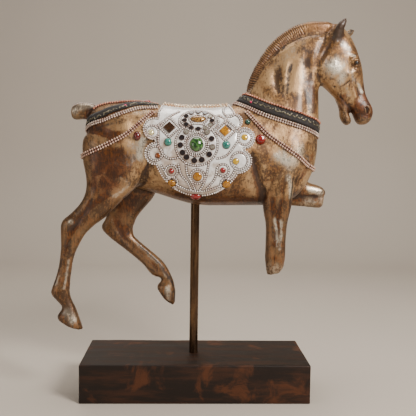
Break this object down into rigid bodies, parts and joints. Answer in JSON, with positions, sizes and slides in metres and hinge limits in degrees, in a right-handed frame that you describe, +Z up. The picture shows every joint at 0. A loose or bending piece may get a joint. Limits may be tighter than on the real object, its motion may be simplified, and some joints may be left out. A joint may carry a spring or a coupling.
{
  "type": "horse statue",
  "caption": "Antique-gold standing horse figure with raised foreleg, jewelled saddle cloth and beaded harness, carried by a slim rod over a dark rectangular block.",
  "frame": {"origin": "centre of the block's underside", "axes": "+Z up, +X the way the horse faces, +Y its left side, away from the side that the picture shows"},
  "size_m": [0.3841, 0.105, 0.4543],
  "materials": {
    "champagne_leaf": "antique champagne gold leaf, glossy on the raised forms, bronze-brown in the hollows",
    "dark_bronze": "dark bronze with streaks of gold",
    "espresso_wood": "espresso stain with worn reddish patches, satin",
    "silver_sheet": "embossed silvery sheet, bright on the raised lines",
    "black_velvet": "black velvet ribbon with a few sequins",
    "copper_beads": "copper red beads on a cord",
    "pearl_beads": "pinkish pearl beads",
    "ball_chain": "two rows of rose-coloured ball chain",
    "green_glass": "polished cabochon",
    "turquoise": "polished bead",
    "red_glass": "polished, backed stone",
    "amber_glass": "polished, backed stone",
    "brown_glass": "polished, backed stone"
  },
  "bodies": {
    "root": {"base": "espresso_wood", "rod": "dark_bronze", "horse": "champagne_leaf", "saddle": "silver_sheet", "collar_band": "black_velvet", "collar_cord": "copper_beads", "collar_trim": "pearl_beads", "breast_strap": "ball_chain", "hip_strap": "ball_chain", "crupper_band": "black_velvet", "crupper_trim": "pearl_beads", "crupper_cord_near": "copper_beads", "crupper_cord_far": "copper_beads", "green_cabochon_near": "green_glass", "green_cabochon_far": "green_glass", "oval_stone_near": "brown_glass", "oval_stone_far": "brown_glass", "brown_diamond_near": "brown_glass", "brown_diamond_far": "brown_glass", "amber_diamond_near": "amber_glass", "amber_diamond_far": "amber_glass", "turquoise_rear_near": "turquoise", "turquoise_rear_far": "turquoise", "turquoise_front_near": "turquoise", "turquoise_front_far": "turquoise", "red_bead_rear_near": "red_glass", "red_bead_rear_far": "red_glass", "red_bead_front_near": "red_glass", "red_bead_front_far": "red_glass", "amber_middle_near": "amber_glass", "amber_middle_far": "amber_glass", "amber_front_near": "amber_glass", "amber_front_far": "amber_glass", "amber_rear_near": "amber_glass", "amber_rear_far": "amber_glass", "yellow_mirror_low_near": "amber_glass", "yellow_mirror_low_far": "amber_glass", "yellow_mirror_high_near": "amber_glass", "yellow_mirror_high_far": "amber_glass", "pale_mirror_near": "amber_glass", "pale_mirror_far": "amber_glass", "orange_mirror_near": "brown_glass", "orange_mirror_far": "brown_glass", "red_oval_stone_near": "red_glass", "red_oval_stone_far": "red_glass", "red_faceted_stone_near": "red_glass", "red_faceted_stone_far": "red_glass", "dark_green_bead_near": "turquoise", "dark_green_bead_far": "turquoise", "dark_red_stone_near": "red_glass", "dark_red_stone_far": "red_glass", "croup_stone": "red_glass"}
  },
  "joints": []
}
